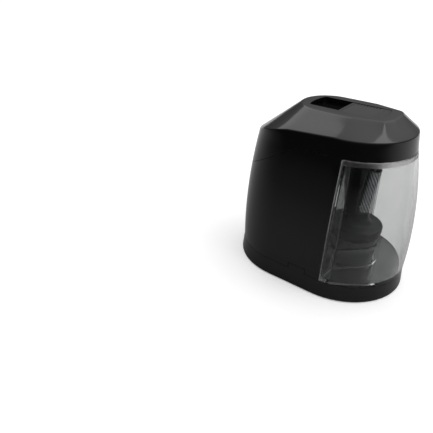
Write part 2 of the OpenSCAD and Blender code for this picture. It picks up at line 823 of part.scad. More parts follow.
module cutter_carrier() {
    cone_top = tip_z + bore_r / tan(tilt);
    color(dark) difference() {
        at_axis() difference() {
            union() {
                translate([0, 0, box_floor_z + 0.8]) cylinder(r = 1.5, h = 2);
                translate([0, 0, box_floor_z + 2.4]) cylinder(r = shaft_r, h = hub_low_z - box_floor_z - 2);
                translate([0, 0, hub_low_z]) cylinder(r = column_r, h = flange_z - hub_low_z + eps);
                translate([0, 0, flange_z]) cylinder(r = flange_r, h = 2);
                translate([0, 0, flange_z]) cylinder(r = neck_r, h = neck_top_z - flange_z);
            }
            // cone for the point, then the bore above it
            rotate_extrude() polygon([
                [0, tip_z - 0.6], [0.4, tip_z - 0.6], [pencil_room_r, cone_top],
                [pencil_room_r, top_z], [0, top_z]]);
        }
        // room and bearings for the cutter
        on_cutter_axis() {
            translate([0, 0, cutter_start - 0.5]) cylinder(r = cutter_r + 0.35, h = cutter_len + 1.2);
            translate([0, 0, -0.7]) cylinder(r = 1.05, h = 60);
        }
    }
}

module carrier_gear() {
    color("#e6e2d6") at_axis() translate([0, 0, mesh_3_z]) spur(carrier_teeth, wheel_high, shaft_r + 0.01);
}

module helical_cutter() {
    teeth = 14;
    twist = 250;
    land = 13.5;
    outline = [for (k = [0:teeth - 1]) let (g = 360 * k / teeth)
        each [
            [(cutter_r - 1) * cos(g), (cutter_r - 1) * sin(g)],
            [cutter_r * cos(g + 2), cutter_r * sin(g + 2)],
            [(cutter_r - 0.1) * cos(g + land), (cutter_r - 0.1) * sin(g + land)]]];
    color("#8e9399") on_cutter_axis() difference() {
        translate([0, 0, cutter_start])
            linear_extrude(cutter_len, twist = twist, slices = 28) polygon(outline);
        translate([0, 0, -1]) cylinder(r = 1.02, h = 60);
    }
}

module cutter_axle() {
    color(steel) on_cutter_axis() translate([0, 0, -0.5])
        cylinder(r = 1, h = gear_along + cutter_gear_high / 2 + 1.3);
}

module cutter_gear() {
    color(brass) on_cutter_axis() {
        translate([0, 0, gear_along - cutter_gear_high / 2]) linear_extrude(cutter_gear_high) difference() {
            // turned on its own axis so that its teeth still mesh with the ring gear
            rotate(180 / cutter_teeth - ring_teeth / cutter_teeth * cutter_turn)
                polygon(gear_outline(cutter_teeth, 0.6 * gear_module, 1.15 * gear_module, 0.22));
            circle(1.02);
        }
        tube(2, 1.02, gear_along - cutter_gear_high / 2 - 2.4, gear_along - cutter_gear_high / 2 + eps);
    }
}

module ring_gear() {
    color("#e6e2d6") at_axis() {
        translate([0, 0, gear_z - ring_high / 2]) linear_extrude(ring_high) difference() {
            circle(ring_r);
            polygon(gear_outline(ring_teeth, 1.3 * gear_module, 0.6 * gear_module, -0.22));
        }
        tube(ring_r, ring_r - 1.2, gear_z + ring_high / 2 - eps, frame_low_z);
    }
}

// ---- upper frame ---------------------------------------------------------

module upper_frame() {
    color(dark) difference() {
        union() {
            intersection() {
                skin(frame_low_z, frame_top_z, wall + 2.4, 1);
                block([-24, -60, 0], [60, 60, 200]);
            }
            at_axis() cylinder(r = frame_boss_r, h = frame_boss_top_z);
            // ears for the start lever
            for (s = [-1, 1]) translate([0, s * (ear_gap + ear_thick / 2), 0]) {
                block([lever_x - ear_r, -ear_thick / 2, frame_low_z],
                      [lever_x + ear_r, ear_thick / 2, lever_z]);
                translate([lever_x, 0, lever_z]) rotate([90, 0, 0])
                    cylinder(r = ear_r, h = ear_thick, center = true);
            }
        }
        block([-90, -60, -10], [90, 60, frame_low_z]);
        at_axis() cylinder(r = bush_top_r + 0.01, h = 200);
        for (p = post_spots) translate([p[0], p[1], 0]) cylinder(r = 1.15, h = 200);
        translate([lever_x, 20, lever_z]) rotate([90, 0, 0]) cylinder(r = lever_pin_r + 0.01, h = 40);
        // weight-saving windows
        for (s = [-1, 1]) block([-14, s > 0 ? 8 : -20, 0], [-2, s > 0 ? 20 : -8, 200]);
    }
}

module upper_bush() {
    color(brass) at_axis() tube(bush_top_r, neck_r + 0.05, frame_low_z + 0.1, frame_boss_top_z);
}

module frame_screws() {
    color(steel) for (p = post_spots)
        translate([p[0], p[1], frame_top_z + 1.42]) rotate([180, 0, 0]) screw(2.4, 1.4, 0.88, 8.6);
}

module pencil_guide() {
    color(black) at_axis() difference() {
        union() {
            tube(7, pencil_room_r, guide_low_z, guide_low_z + 1.4);
            tube(guide_r, pencil_room_r, guide_low_z, guide_top_z);
        }
        // slot for the start lever's nose
        block([-12, -1.6, guide_low_z - 1], [0, 1.6, guide_top_z + 1]);
    }
}

module start_lever() {
    half = ear_gap - 0.3;
    color("#d9d9d4") difference() {
        union() {
            translate([lever_x, 0, lever_z]) rotate([90, 0, 0])
                cylinder(r = 1.9, h = 2 * half, center = true);
            translate([0, half, 0]) rotate([90, 0, 0]) linear_extrude(2 * half) polygon([
                [lever_x, lever_z + 1.4], [axis_x - 7, lever_z - 1.7], [axis_x - 4.6, lever_z - 2.2],
                [axis_x - 3.1, lever_z - 3], [axis_x - 3.3, lever_z - 3.7], [axis_x - 4.7, lever_z - 4.1],
                [lever_x + 0.6, lever_z - 2.6], [lever_x - 0.6, lever_z - 6], [lever_x - 1.7, lever_z - 6],
                [lever_x - 1.8, lever_z]]);
        }
        translate([lever_x, 0, lever_z]) rotate([90, 0, 0])
            cylinder(r = lever_pin_r + 0.05, h = 20, center = true);
    }
}

module lever_pin() {
    color(steel) translate([lever_x, 0, lever_z]) rotate([90, 0, 0])
        cylinder(r = lever_pin_r, h = 2 * (ear_gap + ear_thick) + 3.2, center = true);
}

module lever_spring() {
    turns = 3;
    steps = 14;
    coil_r = 1.3;
    start_y = ear_gap + ear_thick + 0.3;
    route = [for (k = [0:turns * steps]) let (g = 360 * k / steps)
        [lever_x + coil_r * cos(g), start_y + 0.45 * k / steps, lever_z + coil_r * sin(g)]];
    color(steel) wire(route, 0.18, [0, 1, 0], 6);
}

module start_switch() {
    color("#1d2f4f") difference() {
        block([start_switch_x[0], -3, frame_top_z + 0.02], [start_switch_x[1], 3, frame_top_z + 7.5]);
        // recess that the foot of the start lever swings into
        block([start_switch_x[1] - 0.7, -1.6, frame_top_z + 1.4],
              [start_switch_x[1] + 1, 1.6, frame_top_z + 6]);
    }
}

// ---- electrics -----------------------------------------------------------

module bin_switch() {
    color("#1d2f4f") difference() {
        block([bin_switch_x[0], bin_switch_y[0], plunger_z - 3],
              [bin_switch_x[1], bin_switch_y[1], plunger_z + 3]);
        translate([bin_switch_x[0] + 0.8, plunger_y, plunger_z]) rotate([0, 90, 0])
            cylinder(r = plunger_r + 0.05, h = 40);
    }
}

module bin_plunger() {
    rear_x = bin_switch_x[0] + 2.4;
    color("#c8442f") translate([rear_x, plunger_y, plunger_z]) rotate([0, 90, 0])
        cylinder(r = plunger_r, h = bin_rear_x - 0.1 - rear_x);
}

module circuit_board() {
    color("#1f6b3a") difference() {
        block([board_x[0] + 4, -board_half, board_z], [board_x[1], board_half, board_z + board_thick]);
        for (p = board_screw_spots) translate([p[0], p[1], 0]) cylinder(r = 1.1, h = 60);
    }
}

module board_parts() {
    top = board_z + board_thick + 0.02;
    color("#222222") {
        block([-38.4, -3, top], [-34.4, 3, top + 1.6]);
        translate([-43, -9.4, top]) cylinder(r = 3, h = 7);
        translate([-44.5, 8, top]) cylinder(r = 1.4, h = 3);
        for (k = [0:2]) block([-35.6, 4.2 + 1.5 * k, top], [-34.4, 5.2 + 1.5 * k, top + 0.6]);
    }
}

module board_screws() {
    color(steel) for (p = board_screw_spots)
        translate([p[0], p[1], board_z + board_thick + 1.22]) rotate([180, 0, 0]) screw(1.9, 1.2, 0.78, 6.5);
}

module dc_jack() {
    low_z = board_z + board_thick + 0.02;
    color("#151515") difference() {
        union() {
            block([jack_front_x, -jack_size[1] / 2, low_z],
                  [jack_front_x + jack_size[0], jack_size[1] / 2, low_z + jack_size[2]]);
            translate([jack_front_x - 2, 0, jack_z]) rotate([0, 90, 0]) cylinder(r = 3.8, h = 3);
        }
        translate([jack_front_x - 3, 0, jack_z]) rotate([0, 90, 0])
            cylinder(r = jack_bore_r, h = jack_depth + 3);
    }
}

module dc_jack_pin() {
    color(brass) translate([jack_front_x - 0.6, 0, jack_z]) rotate([0, 90, 0])
        cylinder(r = 0.6, h = jack_depth + 0.58);
}

// Routes of the leads, from the board to what they feed
lead_z = board_z + board_thick + 0.1;
motor_wire_route = [
    [-40, 0, lead_z], [-40, 0, 20], [-41.5, 0, 26], [-43, 0, 36], [-43, 0, 50], [-41, 0, 60],
    [-38, 0, 68], [-34, 0, 74], [-30.5, 0, 75.4], [-29, 0, 74], [-29, 0, motor_top_z + 9.2]];
start_wire_route = [
    [-36, -7.2, lead_z], [-36, -7.2, 19], [-38.5, -7.2, 25], [-40.5, -6.5, 34],
    [-41, -4, 52], [-38.5, -1, 69],
    [-33, 0, 84], [-27, 0, 92], [-17, 0, 96], [-8, 0, 95.6], [-3, 0, 95], [start_switch_x[0] - 0.05, 0, 95]];
bin_wire_route = [
    [-42, 10.4, lead_z], [-42, 10.4, 20], [-40.5, 12.5, 24.5], [-37, 15.8, 28], [-31, 18.2, 30],
    [-16, 18.6, 32], [-5, 18.6, 37], [3, 20, 46], [6.5, 21.6, 55], [8.3, 22.2, 60],
    [bin_switch_x[0] - 0.05, 22.2, 60]];

// Two leads side by side along a route
module wire_pair(route, aside, r) {
    for (s = [-1, 1]) wire(smooth([for (p = route) p + s * aside], 4), r, aside);
}

module motor_wires() {
    color("#a32020") wire_pair(motor_wire_route, [0, 5.5, 0], 0.6);
}

module start_wires() {
    color("#e8e8e8") wire_pair(start_wire_route, [0, 0.9, 0], 0.5);
}

module bin_wires() {
    color("#2d4fa8") wire_pair(bin_wire_route, [0, 1.2, 0], 0.5);
}

module base_screws() {
    color(steel) for (p = post_spots) translate([p[0], p[1], tray_bottom_z + 2.2]) screw(2.8, 1.7, 1.05, 17);
}

base_tray();
rubber_feet();
rear_shell();
bulkhead();
cap();
shutter();
shavings_bin();
gearbox_base();
gearbox_cover();
gearbox_screws();
gear_bowl();
lower_bush();
idler_axle_a();
idler_axle_b();
idler_gear_a();
idler_gear_b();
motor_can();
motor_end_cap();
motor_terminals();
motor_screws();
motor_shaft();
motor_pinion();
cutter_carrier();
carrier_gear();
helical_cutter();
cutter_axle();
cutter_gear();
ring_gear();
upper_frame();
upper_bush();
frame_screws();
pencil_guide();
start_lever();
lever_pin();
lever_spring();
start_switch();
bin_switch();
bin_plunger();
circuit_board();
board_parts();
board_screws();
dc_jack();
dc_jack_pin();
motor_wires();
start_wires();
bin_wires();
base_screws();
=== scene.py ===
"""Looks of an upright electric pencil sharpener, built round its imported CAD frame.

The cap, the sliding cover, the rear shell, the clear bin and the cutter are built again here as fine
meshes on the CAD's own outline. Every other CAD node stays, with smooth shading and a material.
Sizes are in millimetres and angles in degrees, unless a comment says otherwise.
"""

import math

import bmesh
import bpy
from mathutils import Matrix, Vector


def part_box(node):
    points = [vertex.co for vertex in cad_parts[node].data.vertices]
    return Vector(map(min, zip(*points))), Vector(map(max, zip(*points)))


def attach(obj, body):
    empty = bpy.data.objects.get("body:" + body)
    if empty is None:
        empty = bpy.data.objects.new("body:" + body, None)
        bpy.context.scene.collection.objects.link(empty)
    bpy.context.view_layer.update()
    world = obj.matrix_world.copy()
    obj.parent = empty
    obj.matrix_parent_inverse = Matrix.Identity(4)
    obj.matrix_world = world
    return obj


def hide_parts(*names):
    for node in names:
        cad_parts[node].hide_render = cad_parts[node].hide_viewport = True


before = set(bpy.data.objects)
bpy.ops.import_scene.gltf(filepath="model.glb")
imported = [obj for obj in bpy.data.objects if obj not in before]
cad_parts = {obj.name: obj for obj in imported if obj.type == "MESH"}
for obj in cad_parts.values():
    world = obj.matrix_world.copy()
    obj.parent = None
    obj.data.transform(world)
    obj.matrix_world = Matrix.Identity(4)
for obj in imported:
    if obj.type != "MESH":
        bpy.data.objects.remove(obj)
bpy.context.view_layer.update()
scene = bpy.context.scene
MM = 0.001


def low(node, axis):
    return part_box(node)[0][axis] / MM


def high(node, axis):
    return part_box(node)[1][axis] / MM


X, Z = 0, 2

# ---- sizes, from the frame where a node shows them ------------------------

TOP_Z = high("cap", Z)
BULKHEAD_X = high("bulkhead", X)
BIN_LOW_Z = low("shavings_bin", Z)
BIN_TOP_Z = high("shavings_bin", Z)
BIN_REAR_X = low("shavings_bin", X)
SHELL_LOW_Z = low("rear_shell", Z)
AXIS_X = (low("upper_bush", X) + high("upper_bush", X)) / 2
COLLAR_LOW_Z = high("pencil_guide", Z) + 0.3
SHUTTER_REAR_X = low("shutter", X)
SHUTTER_LOW_Z = low("shutter", Z)
SHUTTER_TOP_Z = high("shutter", Z)
JACK_Z = (low("dc_jack_pin", Z) + high("dc_jack_pin", Z)) / 2

GAP = 0.3
WALL = 2.0
DECK_Z = SHELL_LOW_Z - GAP
SEAM_Z = BIN_TOP_Z + GAP

# Length and width of the outline at the table, the deck, half way up and the seam
BASE = (111.8, 80.8)
DECK = (110.0, 77.0)
BELLY = (108.4, 74.4)
SEAM = (95.8, 67.8)
SEAM_SHIFT = 1.0
# Lean of the cap's sides above the seam, per millimetre of height: half length, half width, middle
CAP_LEAN = (0.04, 0.115)
CAP_SHIFT = 0.11

# Cap: the skirt's edge, which dips towards the rear, the slope of its lower edge, and the flat top
SKIRT_Z = 99.4
DIP_X = 5.0
DIP_RATE = 0.0045
SLOPE_X = -7.4
SLOPE_RATE = 0.6
FLAT_HALF = 17.6
FLAT_FRONT_X = 33.6
FLAT_REAR_X = -23.9
FLAT_MID_X = 14.0
# What an inset of the flat top's front part is measured against, along and across
FLAT_REACH = (19.0, 17.0)
CAP_LOW_Z = 58.0
# Rounding of the skirt's edge and of the flat top's edge, outside and inside
CAP_ROUNDING = (0.7, 1.2)
CAP_ROUNDING_INSIDE = (0.3, 0.6)
# The skirt and the flat top meet the slanted band, where this share of an inset is enough
BAND_SHARE = 0.6

# Slot, the walls and floor under it, its lip, and the collar of the pencil hole
SLOT_FRONT_X = 27.5
SLOT_REAR_X = -17.2
SLOT_WID = 21.0
SLOT_END_R = 33.0
SLOT_FLOOR_Z = 103.3
SLOT_WALL = 1.3
SLOT_FLOOR = 1.5
LIP_Z = 105.5
LIP_WIDE = 1.2
BORE_R = 4.25
COLLAR_R = 5.4
SLIDE_GAP = 0.25
SLOT_CORNER_R = 1.4

# Finger ribs of the sliding cover: pitch, depth, and the ribbed stretch from the cover's rear edge
RIB_PITCH = 1.9
RIB_DEPTH = 0.22
RIBBED = (1.6, 18.7)

# Tabs of the base that show in the side walls: ends, top, inner face and the seam round them
TAB_X = (-2.7, 8.7)
TAB_TOP_Z = 14.2
TAB_Y = 34.5
TAB_SEAM = 0.35

# Hole for the plug, drilled from behind to a place inside the rear wall
JACK_HOLE_R = 4.1
JACK_HOLE_X = -40.0

# Bin: its thin rim, and its flanges, which stand clear of the walls so that these stay see-through
RIM_HIGH = 2.6
RIM_THIN = 0.7
FLANGE_CLEAR = 0.05
FLANGE_SET_BACK = 0.75
SATIN_EDGE = 0.6

# Bay of the bin round the gearbox nose
BAY_R = 17.8
BAY_HALF = 25.3
BAY_WALL = 1.8
BAY_TOP_Z = 27.0

# Cutter: its lean and its turn about the main axis in radians, then size, teeth and twist
TILT = math.radians(9)
CUTTER_R = 4.2
CUTTER_LEN = 29.0
CUTTER_BASE_Z = 46.0
CUTTER_START = 2.2
CUTTER_TURN = math.radians(-125)
CUTTER_TEETH = 14
CUTTER_TWIST = math.radians(250)
# One tooth of the cutter: angle in degrees from its front, and depth below the cutter's radius
TOOTH = ((0, 1.0), (1.0, 0.35), (2.0, 0.0), (13.5, 0.1), (16.5, 0.55), (20.5, 0.95))
TIP_Z = 49.0

ARC = 80  # segments round each half of the outline
FAR = 90.0  # past every side of the body
HIGH = 130.0  # past its top
WELD = 2e-7  # distance within which corners are joined, in metres

# Faces that meet at less than this angle shade as one; the bowl is one smooth turned shape
SMOOTH_ANGLE = 32
CAP_ANGLE = 24
CUTTER_ANGLE = 40
BOWL_ANGLE = 60
BEVEL_ANGLE = 40


# ---- outline of the body ---------------------------------------------------


def bow(first, middle, last, t):
    """Value on a parabola through three values at t = 0, 0.5 and 1."""
    return first * (1 - t) * (1 - 2 * t) + 4 * middle * t * (1 - t) - last * t * (1 - 2 * t)


def half_size(z, k):
    """Half length (k = 0) or half width (k = 1) of the body at a height."""
    if z < DECK_Z:
        return (BASE[k] + (DECK[k] - BASE[k]) * z / DECK_Z) / 2
    if z < SEAM_Z:
        return bow(DECK[k], BELLY[k], SEAM[k], (z - DECK_Z) / (SEAM_Z - DECK_Z)) / 2
    return SEAM[k] / 2 - CAP_LEAN[k] * (z - SEAM_Z)


def centre_x(z):
    if z < DECK_Z:
        return 0.0
    if z < SEAM_Z:
        return -SEAM_SHIFT * ((z - DECK_Z) / (SEAM_Z - DECK_Z)) ** 2
    return -SEAM_SHIFT - CAP_SHIFT * (z - SEAM_Z)


RING = 2 * (ARC + 1)


def ring_angle(i):
    if i <= ARC:
        return -90 + 180 * i / ARC
    return 90 + 180 * (i - ARC - 1) / ARC


def skin_point(i, z, inset):
    a = half_size(z, 0) - inset
    b = half_size(z, 1) - inset
    g = math.radians(ring_angle(i))
    side = 1 if i <= ARC else -1
    return Vector((centre_x(z) + side * (a - b) + b * math.cos(g), b * math.sin(g), z))


def skin_ring(z, inset):
    return [skin_point(i, z, inset) for i in range(RING)]


# ---- mesh helpers ----------------------------------------------------------


def new_object(name, points, faces):
    """Object from points in millimetres, with its faces turned outwards."""
    mesh = bpy.data.meshes.new(name)
    mesh.from_pydata([Vector(p) * MM for p in points], [], faces)
    work = bmesh.new()
    work.from_mesh(mesh)
    bmesh.ops.recalc_face_normals(work, faces=work.faces)
    work.to_mesh(mesh)
    work.free()
    obj = bpy.data.objects.new(name, mesh)
    scene.collection.objects.link(obj)
    return obj


def loft(name, rings):
    n = len(rings[0])
    faces = [tuple(range(n)), tuple(range((len(rings) - 1) * n, len(rings) * n))]
    for k in range(len(rings) - 1):
        for i in range(n):
            j = (i + 1) % n
            faces.append((k * n + i, k * n + j, (k + 1) * n + j, (k + 1) * n + i))
    return new_object(name, [p for r in rings for p in r], faces)


def skin(z0, z1, inset, steps=24):
    heights = [z0 + (z1 - z0) * k / steps for k in range(steps + 1)]
    return loft("tool", [skin_ring(z, inset) for z in heights])


def prism(outline, z0, z1):
    return loft("tool", [[(x, y, z) for x, y in outline] for z in (z0, z1)])


def block(corner, other):
    (x0, y0, z0), (x1, y1, z1) = corner, other
    return prism([(x0, y0), (x1, y0), (x1, y1), (x0, y1)], z0, z1)


def circle(x, y, r, sides=96):
    angles = [2 * math.pi * k / sides for k in range(sides)]
    return [(x + r * math.cos(g), y + r * math.sin(g)) for g in angles]


def combine(obj, other, operation):
    """Applies one boolean to obj and removes the other solid."""
    step = obj.modifiers.new("step", "BOOLEAN")
    step.object = other
    step.operation = operation
    step.solver = "MANIFOLD"
    graph = bpy.context.evaluated_depsgraph_get()
    result = bpy.data.meshes.new_from_object(obj.evaluated_get(graph))
    obj.modifiers.clear()
    obj.data = result
    bpy.data.objects.remove(other)
    return obj


def cut(obj, *others):
    for other in others:
        combine(obj, other, "DIFFERENCE")
    return obj


def join(obj, *others):
    for other in others:
        combine(obj, other, "UNION")
    return obj


def keep(obj, other):
    return combine(obj, other, "INTERSECT")


def above_seam(lift):
    """Everything above the cap's lower edge, which slopes down towards the rear."""
    edge = SEAM_Z + lift
    rear = edge - SLOPE_RATE * (FAR + SLOPE_X)
    side = [(FAR, edge), (FAR, HIGH), (-FAR, HIGH), (-FAR, rear), (SLOPE_X, edge)]
    return loft("tool", [[(x, y, z) for x, z in side] for y in (-FAR, FAR)])


def rod_x(x0, x1, y, z, r):
    return loft("tool", [[(x, y + v, z + w) for v, w in circle(0, 0, r)] for x in (x0, x1)])


# ---- shading ---------------------------------------------------------------


def smooth_group():
    """Node group that joins split corners and shades smooth up to an angle."""
    group = bpy.data.node_groups.new("smooth_by_angle", "GeometryNodeTree")
    group.interface.new_socket("Geometry", in_out="INPUT", socket_type="NodeSocketGeometry")
    group.interface.new_socket("Geometry", in_out="OUTPUT", socket_type="NodeSocketGeometry")
    angle_in = group.interface.new_socket("Angle", in_out="INPUT", socket_type="NodeSocketFloat")
    angle_in.default_value = math.radians(SMOOTH_ANGLE)
    nodes, links = group.nodes, group.links
    entry = nodes.new("NodeGroupInput")
    out = nodes.new("NodeGroupOutput")
    drop = nodes.new("GeometryNodeRemoveAttribute")
    drop.inputs["Name"].default_value = "custom_normal"
    weld = nodes.new("GeometryNodeMergeByDistance")
    weld.inputs["Distance"].default_value = WELD
    faces = nodes.new("GeometryNodeSetShadeSmooth")
    faces.domain = "FACE"
    edges = nodes.new("GeometryNodeSetShadeSmooth")
    edges.domain = "EDGE"
    edges.inputs["Shade Smooth"].default_value = False
    angle = nodes.new("GeometryNodeInputMeshEdgeAngle")
    sharp = nodes.new("FunctionNodeCompare")
    sharp.operation = "GREATER_THAN"
    links.new(entry.outputs["Geometry"], drop.inputs["Geometry"])
    links.new(drop.outputs["Geometry"], weld.inputs["Geometry"])
    links.new(weld.outputs["Geometry"], faces.inputs["Geometry"])
    links.new(faces.outputs["Geometry"], edges.inputs["Geometry"])
    links.new(angle.outputs["Unsigned Angle"], sharp.inputs[0])
    links.new(entry.outputs["Angle"], sharp.inputs[1])
    links.new(sharp.outputs["Result"], edges.inputs["Selection"])
    links.new(edges.outputs["Geometry"], out.inputs["Geometry"])
    return group


SMOOTH = smooth_group()


def shade(obj, angle=SMOOTH_ANGLE, bevel=0.0):
    """Smooth shading up to an angle in degrees, after an edge rounding in millimetres."""
    weld = obj.modifiers.new("weld", "WELD")
    weld.merge_threshold = WELD
    if bevel:
        edge = obj.modifiers.new("edge", "BEVEL")
        edge.width = bevel * MM
        edge.segments = 2
        edge.limit_method = "ANGLE"
        edge.angle_limit = math.radians(BEVEL_ANGLE)
        edge.use_clamp_overlap = True
    modifier = obj.modifiers.new("smooth", "NODES")
    modifier.node_group = SMOOTH
    socket = [s for s in SMOOTH.interface.items_tree if s.name == "Angle"][0]
    modifier[socket.identifier] = math.radians(angle)


# ---- materials -------------------------------------------------------------


class Shader:
    """Small helper for a Principled material in object coordinates."""

    def __init__(self, name, **constants):
        self.material = bpy.data.materials.new(name)
        self.material.use_nodes = True
        self.tree = self.material.node_tree
        self.bsdf = self.tree.nodes["Principled BSDF"]
        self.place = self.tree.nodes.new("ShaderNodeTexCoord").outputs["Object"]
        for key, value in constants.items():
            self.bsdf.inputs[key.replace("_", " ")].default_value = value

    def stretched(self, scale):
        node = self.tree.nodes.new("ShaderNodeMapping")
        node.inputs["Scale"].default_value = scale
        self.tree.links.new(self.place, node.inputs["Vector"])
        return node.outputs["Vector"]

    def noise(self, scale, detail=3.0, rough=0.5, vector=None):
        node = self.tree.nodes.new("ShaderNodeTexNoise")
        node.inputs["Scale"].default_value = scale
        node.inputs["Detail"].default_value = detail
        node.inputs["Roughness"].default_value = rough
        self.tree.links.new(vector or self.place, node.inputs["Vector"])
        return node.outputs["Fac"]

    def ramp(self, source, stops):
        node = self.tree.nodes.new("ShaderNodeValToRGB")
        marks = node.color_ramp.elements
        while len(marks) < len(stops):
            marks.new(0.5)
        for mark, (place, colour) in zip(marks, stops):
            mark.position = place
            mark.color = (*colour, 1)
        self.tree.links.new(source, node.inputs["Fac"])
        return node.outputs["Color"]

    def spread(self, source, from_low, from_high, to_low, to_high):
        node = self.tree.nodes.new("ShaderNodeMapRange")
        for key, value in zip(range(1, 5), (from_low, from_high, to_low, to_high)):
            node.inputs[key].default_value = value
        self.tree.links.new(source, node.inputs["Value"])
        return node.outputs["Result"]

    def mix(self, factor, a, b):
        """Blend of two sockets or colours."""
        node = self.tree.nodes.new("ShaderNodeMix")
        node.data_type = "RGBA"
        self.tree.links.new(factor, node.inputs["Factor"])
        for key, value in (("A", a), ("B", b)):
            if isinstance(value, tuple):
                node.inputs[key].default_value = (*value, 1)
            else:
                self.tree.links.new(value, node.inputs[key])
        return node.outputs["Result"]

    def worn_edges(self, reach):
        """1 along sharp edges and 0 on flat faces, broken up by noise; reach in millimetres."""
        soft = self.tree.nodes.new("ShaderNodeBevel")
        soft.samples = 4
        soft.inputs["Radius"].default_value = reach * MM
        flat = self.tree.nodes.new("ShaderNodeNewGeometry")
        turn = self.tree.nodes.new("ShaderNodeVectorMath")
        turn.operation = "DOT_PRODUCT"
        self.tree.links.new(soft.outputs["Normal"], turn.inputs[0])
        self.tree.links.new(flat.outputs["Normal"], turn.inputs[1])
        edge = self.spread(turn.outputs["Value"], 0.995, 0.86, 0, 1)
        broken = self.spread(self.noise(420, 4), 0.38, 0.62, 0.25, 1)
        node = self.tree.nodes.new("ShaderNodeMath")
        node.operation = "MULTIPLY"
        self.tree.links.new(edge, node.inputs[0])
        self.tree.links.new(broken, node.inputs[1])
        return node.outputs["Value"]

    def add(self, a, b):
        node = self.tree.nodes.new("ShaderNodeMath")
        self.tree.links.new(a, node.inputs[0])
        self.tree.links.new(b, node.inputs[1])
        return node.outputs["Value"]

    def bump(self, source, strength, distance):
        node = self.tree.nodes.new("ShaderNodeBump")
        node.inputs["Strength"].default_value = strength
        node.inputs["Distance"].default_value = distance
        self.tree.links.new(source, node.inputs["Height"])
        self.tree.links.new(node.outputs["Normal"], self.bsdf.inputs["Normal"])

    def link(self, source, key):
        self.tree.links.new(source, self.bsdf.inputs[key])


def scaled(colour, factor):
    return tuple(min(1.0, c * factor) for c in colour)


def plastic(name, colour, rough, varied=0.12, grain=0.0, worn=(0.03, 0.03, 0.031), shine=0.5):
    """Moulded plastic: slight colour drift, uneven gloss with fine rub marks, paler and duller worn edges."""
    s = Shader(name, IOR=1.5, Specular_IOR_Level=shine)
    drift = s.noise(90, 4)
    base = s.ramp(drift, [(0.3, scaled(colour, 1 - varied)), (0.7, scaled(colour, 1 + varied))])
    edge = s.worn_edges(0.35)
    rubbed = tuple(c + w for c, w in zip(colour, worn))
    s.link(s.mix(edge, base, rubbed), "Base Color")
    rubs = s.noise(1, 5, 0.65, s.stretched((140, 900, 2600)))
    gloss = s.spread(drift, 0.3, 0.7, rough * 0.85, rough * 1.1)
    uneven = s.add(gloss, s.spread(rubs, 0.45, 0.8, 0, rough * 0.15))
    s.link(s.add(uneven, s.spread(edge, 0, 1, 0, 0.14)), "Roughness")
    s.bump(s.noise(2600 if grain else 700, 2), grain or 0.015, 0.00004)
    return s.material


def metal(name, colour, rough, direction=(300, 300, 9000)):
    """Drawn or turned metal: streaks along one way in gloss and height, stains, and bright rubbed edges."""
    s = Shader(name, Metallic=1.0)
    streaks = s.noise(1, 4, 0.6, s.stretched(direction))
    stain = s.noise(160, 3)
    base = s.ramp(stain, [(0.3, scaled(colour, 0.86)), (0.72, scaled(colour, 1.06))])
    s.link(s.mix(s.worn_edges(0.2), base, scaled(colour, 1.35)), "Base Color")
    s.link(s.spread(streaks, 0.3, 0.7, rough * 0.7, rough * 1.4), "Roughness")
    s.bump(streaks, 0.08, 0.00003)
    return s.material


def clear_plastic(name):
    """Clear, faintly smoky polystyrene with satin cut edges, which are also tinted paler as a painted
    highlight. Lamps shine through it as through a film.
    """
    s = Shader(name, Transmission_Weight=1.0, IOR=1.5)
    smudge = s.noise(55, 5, 0.6)
    parts = s.tree.nodes.new("ShaderNodeSeparateXYZ")
    s.tree.links.new(s.place, parts.inputs["Vector"])
    rim_z = BIN_TOP_Z - RIM_HIGH
    top = s.spread(parts.outputs["Z"], (rim_z - 0.1) * MM, (rim_z + 0.1) * MM, 0, 1)
    edge_x = BIN_REAR_X + SATIN_EDGE
    rear = s.spread(parts.outputs["X"], edge_x * MM, (edge_x + 0.1) * MM, 1, 0)
    rim = s.add(top, rear)
    tint = s.ramp(smudge, [(0.35, (0.84, 0.85, 0.85)), (0.7, (0.88, 0.885, 0.885))])
    # rim band and rear edge strip: satin roughness, and a paler tint that is a painted highlight
    s.link(s.mix(rim, tint, (0.95, 0.95, 0.95)), "Base Color")
    s.link(s.add(s.spread(smudge, 0.45, 0.8, 0.006, 0.05), s.spread(rim, 0, 1, 0, 0.4)), "Roughness")
    s.bump(s.noise(160, 2), 0.012, 0.00005)
    nodes, links = s.tree.nodes, s.tree.links
    see = nodes.new("ShaderNodeBsdfTransparent")
    see.inputs["Color"].default_value = (0.93, 0.94, 0.945, 1)
    path = nodes.new("ShaderNodeLightPath")
    mix = nodes.new("ShaderNodeMixShader")
    links.new(path.outputs["Is Shadow Ray"], mix.inputs["Fac"])
    links.new(s.bsdf.outputs["BSDF"], mix.inputs[1])
    links.new(see.outputs["BSDF"], mix.inputs[2])
    links.new(mix.outputs["Shader"], nodes["Material Output"].inputs["Surface"])
    return s.material


GLOSS_BLACK = plastic("gloss_black", (0.0045, 0.0046, 0.005), 0.12)
DARK_GLOSS = plastic("inner_gloss_black", (0.003, 0.003, 0.0033), 0.16, worn=(0.015, 0.015, 0.015))
SATIN_BLACK = plastic("satin_black", (0.01, 0.01, 0.011), 0.36, grain=0.12)
INNER_BLACK = plastic("inner_black", (0.013, 0.0135, 0.015), 0.32, grain=0.06)
BOWL_BLACK = plastic("bowl_black", (0.0045, 0.0055, 0.005), 0.3, worn=(0.02, 0.02, 0.02), shine=0.18)
NOSE_BLACK = plastic("gearbox_black", (0.045, 0.047, 0.046), 0.34, grain=0.04)
RUBBER = plastic("rubber", (0.018, 0.018, 0.018), 0.7, grain=0.35)
ACETAL = plastic("acetal", (0.72, 0.69, 0.61), 0.42, varied=0.04, grain=0.05)
SWITCH = plastic("switch_body", (0.022, 0.035, 0.075), 0.42, grain=0.1)
RED = plastic("red_plastic", (0.5, 0.06, 0.035), 0.38)
BOARD = plastic("solder_resist", (0.015, 0.12, 0.05), 0.3, varied=0.2, grain=0.08)
